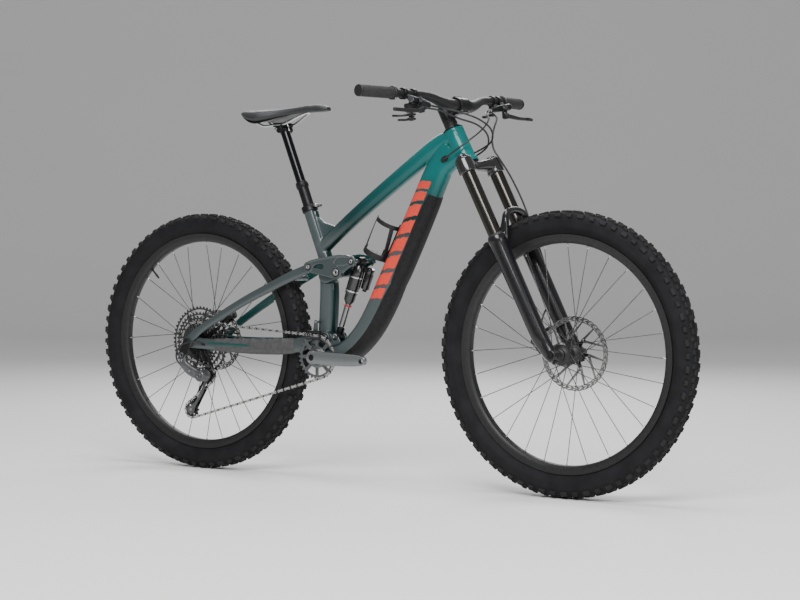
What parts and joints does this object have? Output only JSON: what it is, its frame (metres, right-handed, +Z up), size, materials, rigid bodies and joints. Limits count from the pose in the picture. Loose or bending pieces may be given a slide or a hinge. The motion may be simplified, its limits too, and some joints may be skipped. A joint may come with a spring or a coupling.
{
  "type": "mountain bike",
  "caption": "Full-suspension mountain bike with a teal and grey-green frame, air shock, dropper post, disc brakes and one chainring.",
  "frame": {"origin": "on the ground half way between the wheel axles, in the centre plane", "axes": "+X the way it rides, +Y its left side, +Z up"},
  "size_m": [1.978, 0.8158, 1.0847],
  "materials": {
    "frame_paint": "gloss teal",
    "stay_paint": "satin green grey",
    "black_alloy": "black anodised",
    "grey_alloy": "satin",
    "steel": "satin",
    "rubber": "matt",
    "tyre": "matt",
    "plastic": "matt",
    "saddle_skin": "satin"
  },
  "bodies": {
    "frame": {"front_frame": "frame_paint", "headset_bearing_upper": "steel", "headset_bearing_lower": "steel", "seat_clamp": "black_alloy", "dropper_outer": "black_alloy", "bottle_cage": "plastic", "chain_guide": "plastic", "bottom_bracket": "black_alloy", "main_pivot_axle": "steel", "rocker_axle": "steel", "chain": "steel"},
    "steering": {"crown_and_stanchions": "black_alloy", "stem": "black_alloy", "stem_faceplate": "black_alloy", "top_cap": "black_alloy", "handlebar": "black_alloy", "grip_right": "rubber", "grip_left": "rubber", "brake_body_right": "black_alloy", "brake_body_left": "black_alloy", "shifter_body": "plastic", "dropper_remote_body": "black_alloy", "rear_brake_hose": "plastic", "front_brake_hose": "plastic", "shift_cable": "plastic", "dropper_cable": "plastic"},
    "brake_lever_right": {"brake_lever_right": "black_alloy"},
    "brake_lever_left": {"brake_lever_left": "black_alloy"},
    "shift_lever": {"shift_lever": "plastic"},
    "release_lever": {"release_lever": "plastic"},
    "dropper_lever": {"dropper_lever": "black_alloy"},
    "fork_lowers": {"fork_lowers": "black_alloy", "front_axle": "black_alloy", "front_caliper": "black_alloy"},
    "front_wheel": {"front_hub": "black_alloy", "front_rim": "black_alloy", "front_tyre": "tyre", "front_rotor": "steel"},
    "swingarm": {"chainstay": "stay_paint", "rear_axle": "black_alloy", "derailleur_body": "black_alloy"},
    "seatstay": {"seatstay": "stay_paint", "rear_caliper": "black_alloy"},
    "rocker": {"rocker": "stay_paint"},
    "shock_body": {"shock_body": "black_alloy"},
    "shock_shaft": {"shock_shaft": "steel"},
    "crank": {"crank_right": "grey_alloy", "crank_left": "grey_alloy", "chainring": "grey_alloy"},
    "rear_wheel": {"rear_hub": "black_alloy", "rear_rim": "black_alloy", "rear_tyre": "tyre", "rear_rotor": "steel"},
    "cassette": {"cassette": "steel"},
    "derailleur_cage": {"derailleur_cage": "black_alloy"},
    "jockey_upper": {"jockey_upper": "plastic"},
    "jockey_lower": {"jockey_lower": "plastic"},
    "seatpost_upper": {"dropper_inner": "black_alloy", "saddle_rails": "steel", "saddle": "saddle_skin"}
  },
  "joints": [
    {"name": "steering", "type": "hinge", "parent": "frame", "child": "steering", "pos_m": [0.28306, 0, 0.9267], "axis": [-0.454, 0, 0.891], "range_deg": [-55, 55], "deforming": ["rear_brake_hose", "shift_cable", "dropper_cable"]},
    {"name": "fork_travel", "type": "slide", "parent": "steering", "child": "fork_lowers", "axis": [-0.454, 0, 0.891], "range_m": [0, 0.16], "stiffness_N_per_m": 8000, "springref_m": -0.02, "deforming": ["front_brake_hose"]},
    {"name": "front_wheel_spin", "type": "hinge", "parent": "fork_lowers", "child": "front_wheel", "pos_m": [0.611, 0, 0.38], "axis": [0, 1, 0], "continuous": true},
    {"name": "rear_wheel_spin", "type": "hinge", "parent": "swingarm", "child": "rear_wheel", "pos_m": [-0.611, 0, 0.376], "axis": [0, 1, 0], "continuous": true},
    {"name": "crank_spin", "type": "hinge", "parent": "frame", "child": "crank", "pos_m": [-0.165, 0, 0.347], "axis": [0, 1, 0], "continuous": true},
    {"name": "cassette_spin", "type": "hinge", "parent": "swingarm", "child": "cassette", "pos_m": [-0.611, 0, 0.376], "axis": [0, 1, 0], "continuous": true},
    {"name": "swingarm_pivot", "type": "hinge", "parent": "frame", "child": "swingarm", "pos_m": [-0.148, 0, 0.402], "axis": [0, 1, 0], "range_deg": [0, 18.3], "stiffness_Nm_per_rad": 2000, "springref_deg": -2.86, "deforming": ["chain"]},
    {"name": "seatstay_pivot", "type": "hinge", "parent": "swingarm", "child": "seatstay", "pos_m": [-0.611, 0, 0.376], "axis": [0, 1, 0], "range_deg": [-8.2, 0]},
    {"name": "rocker_pivot", "type": "hinge", "parent": "frame", "child": "rocker", "pos_m": [-0.102, 0, 0.587], "axis": [0, 1, 0], "range_deg": [0, 52.4]},
    {"name": "shock_foot_pivot", "type": "hinge", "parent": "frame", "child": "shock_shaft", "pos_m": [-0.126, 0, 0.405], "axis": [0, 1, 0], "range_deg": [0, 7.1]},
    {"name": "shock_stroke", "type": "slide", "parent": "shock_shaft", "child": "shock_body", "axis": [-0.3361, 0, -0.9418], "range_m": [0, 0.0474]},
    {"name": "derailleur_cage_pivot", "type": "hinge", "parent": "swingarm", "child": "derailleur_cage", "pos_m": [-0.57, -0.03845, 0.278], "axis": [0, 1, 0], "range_deg": [-35, 0], "stiffness_Nm_per_rad": 1.5, "springref_deg": 17.19},
    {"name": "jockey_upper_spin", "type": "hinge", "parent": "derailleur_cage", "child": "jockey_upper", "pos_m": [-0.57, -0.03845, 0.278], "axis": [0, 1, 0], "continuous": true},
    {"name": "jockey_lower_spin", "type": "hinge", "parent": "derailleur_cage", "child": "jockey_lower", "pos_m": [-0.632, -0.03845, 0.174], "axis": [0, 1, 0], "continuous": true},
    {"name": "dropper_post", "type": "slide", "parent": "frame", "child": "seatpost_upper", "axis": [-0.3665, 0, 0.9304], "range_m": [-0.15, 0], "stiffness_N_per_m": 250, "springref_m": 0.1},
    {"name": "brake_lever_right_pivot", "type": "hinge", "parent": "steering", "child": "brake_lever_right", "pos_m": [0.29624, -0.214, 1.03589], "axis": [0, 0, -1], "range_deg": [0, 14], "stiffness_Nm_per_rad": 1, "springref_deg": -11.46},
    {"name": "brake_lever_left_pivot", "type": "hinge", "parent": "steering", "child": "brake_lever_left", "pos_m": [0.29624, 0.214, 1.03589], "axis": [0, 0, 1], "range_deg": [0, 14], "stiffness_Nm_per_rad": 1, "springref_deg": -11.46},
    {"name": "shift_lever_pivot", "type": "hinge", "parent": "steering", "child": "shift_lever", "pos_m": [0.25231, -0.198, 1.01288], "axis": [0, 0, 1], "range_deg": [0, 35], "stiffness_Nm_per_rad": 0.3, "springref_deg": -17.19},
    {"name": "release_lever_pivot", "type": "hinge", "parent": "steering", "child": "release_lever", "pos_m": [0.25231, -0.198, 1.00118], "axis": [0, 0, 1], "range_deg": [0, 18], "stiffness_Nm_per_rad": 0.3, "springref_deg": -17.19},
    {"name": "dropper_lever_pivot", "type": "hinge", "parent": "steering", "child": "dropper_lever", "pos_m": [0.25478, 0.202, 1.02643], "axis": [0, 0, -1], "range_deg": [0, 25], "stiffness_Nm_per_rad": 0.3, "springref_deg": -17.19}
  ],
  "couplings": [
    {"joint": "cassette_spin", "follows": "crank_spin", "ratio": 1.0714},
    {"joint": "jockey_upper_spin", "follows": "crank_spin", "ratio": -2.5},
    {"joint": "jockey_lower_spin", "follows": "crank_spin", "ratio": 2.5},
    {"joint": "seatstay_pivot", "follows": "swingarm_pivot", "ratio": -0.4463},
    {"joint": "rocker_pivot", "follows": "swingarm_pivot", "ratio": 2.8587},
    {"joint": "shock_foot_pivot", "follows": "swingarm_pivot", "ratio": 0.3852},
    {"joint": "shock_stroke", "follows": "swingarm_pivot", "m_per_rad": 0.1481}
  ]
}
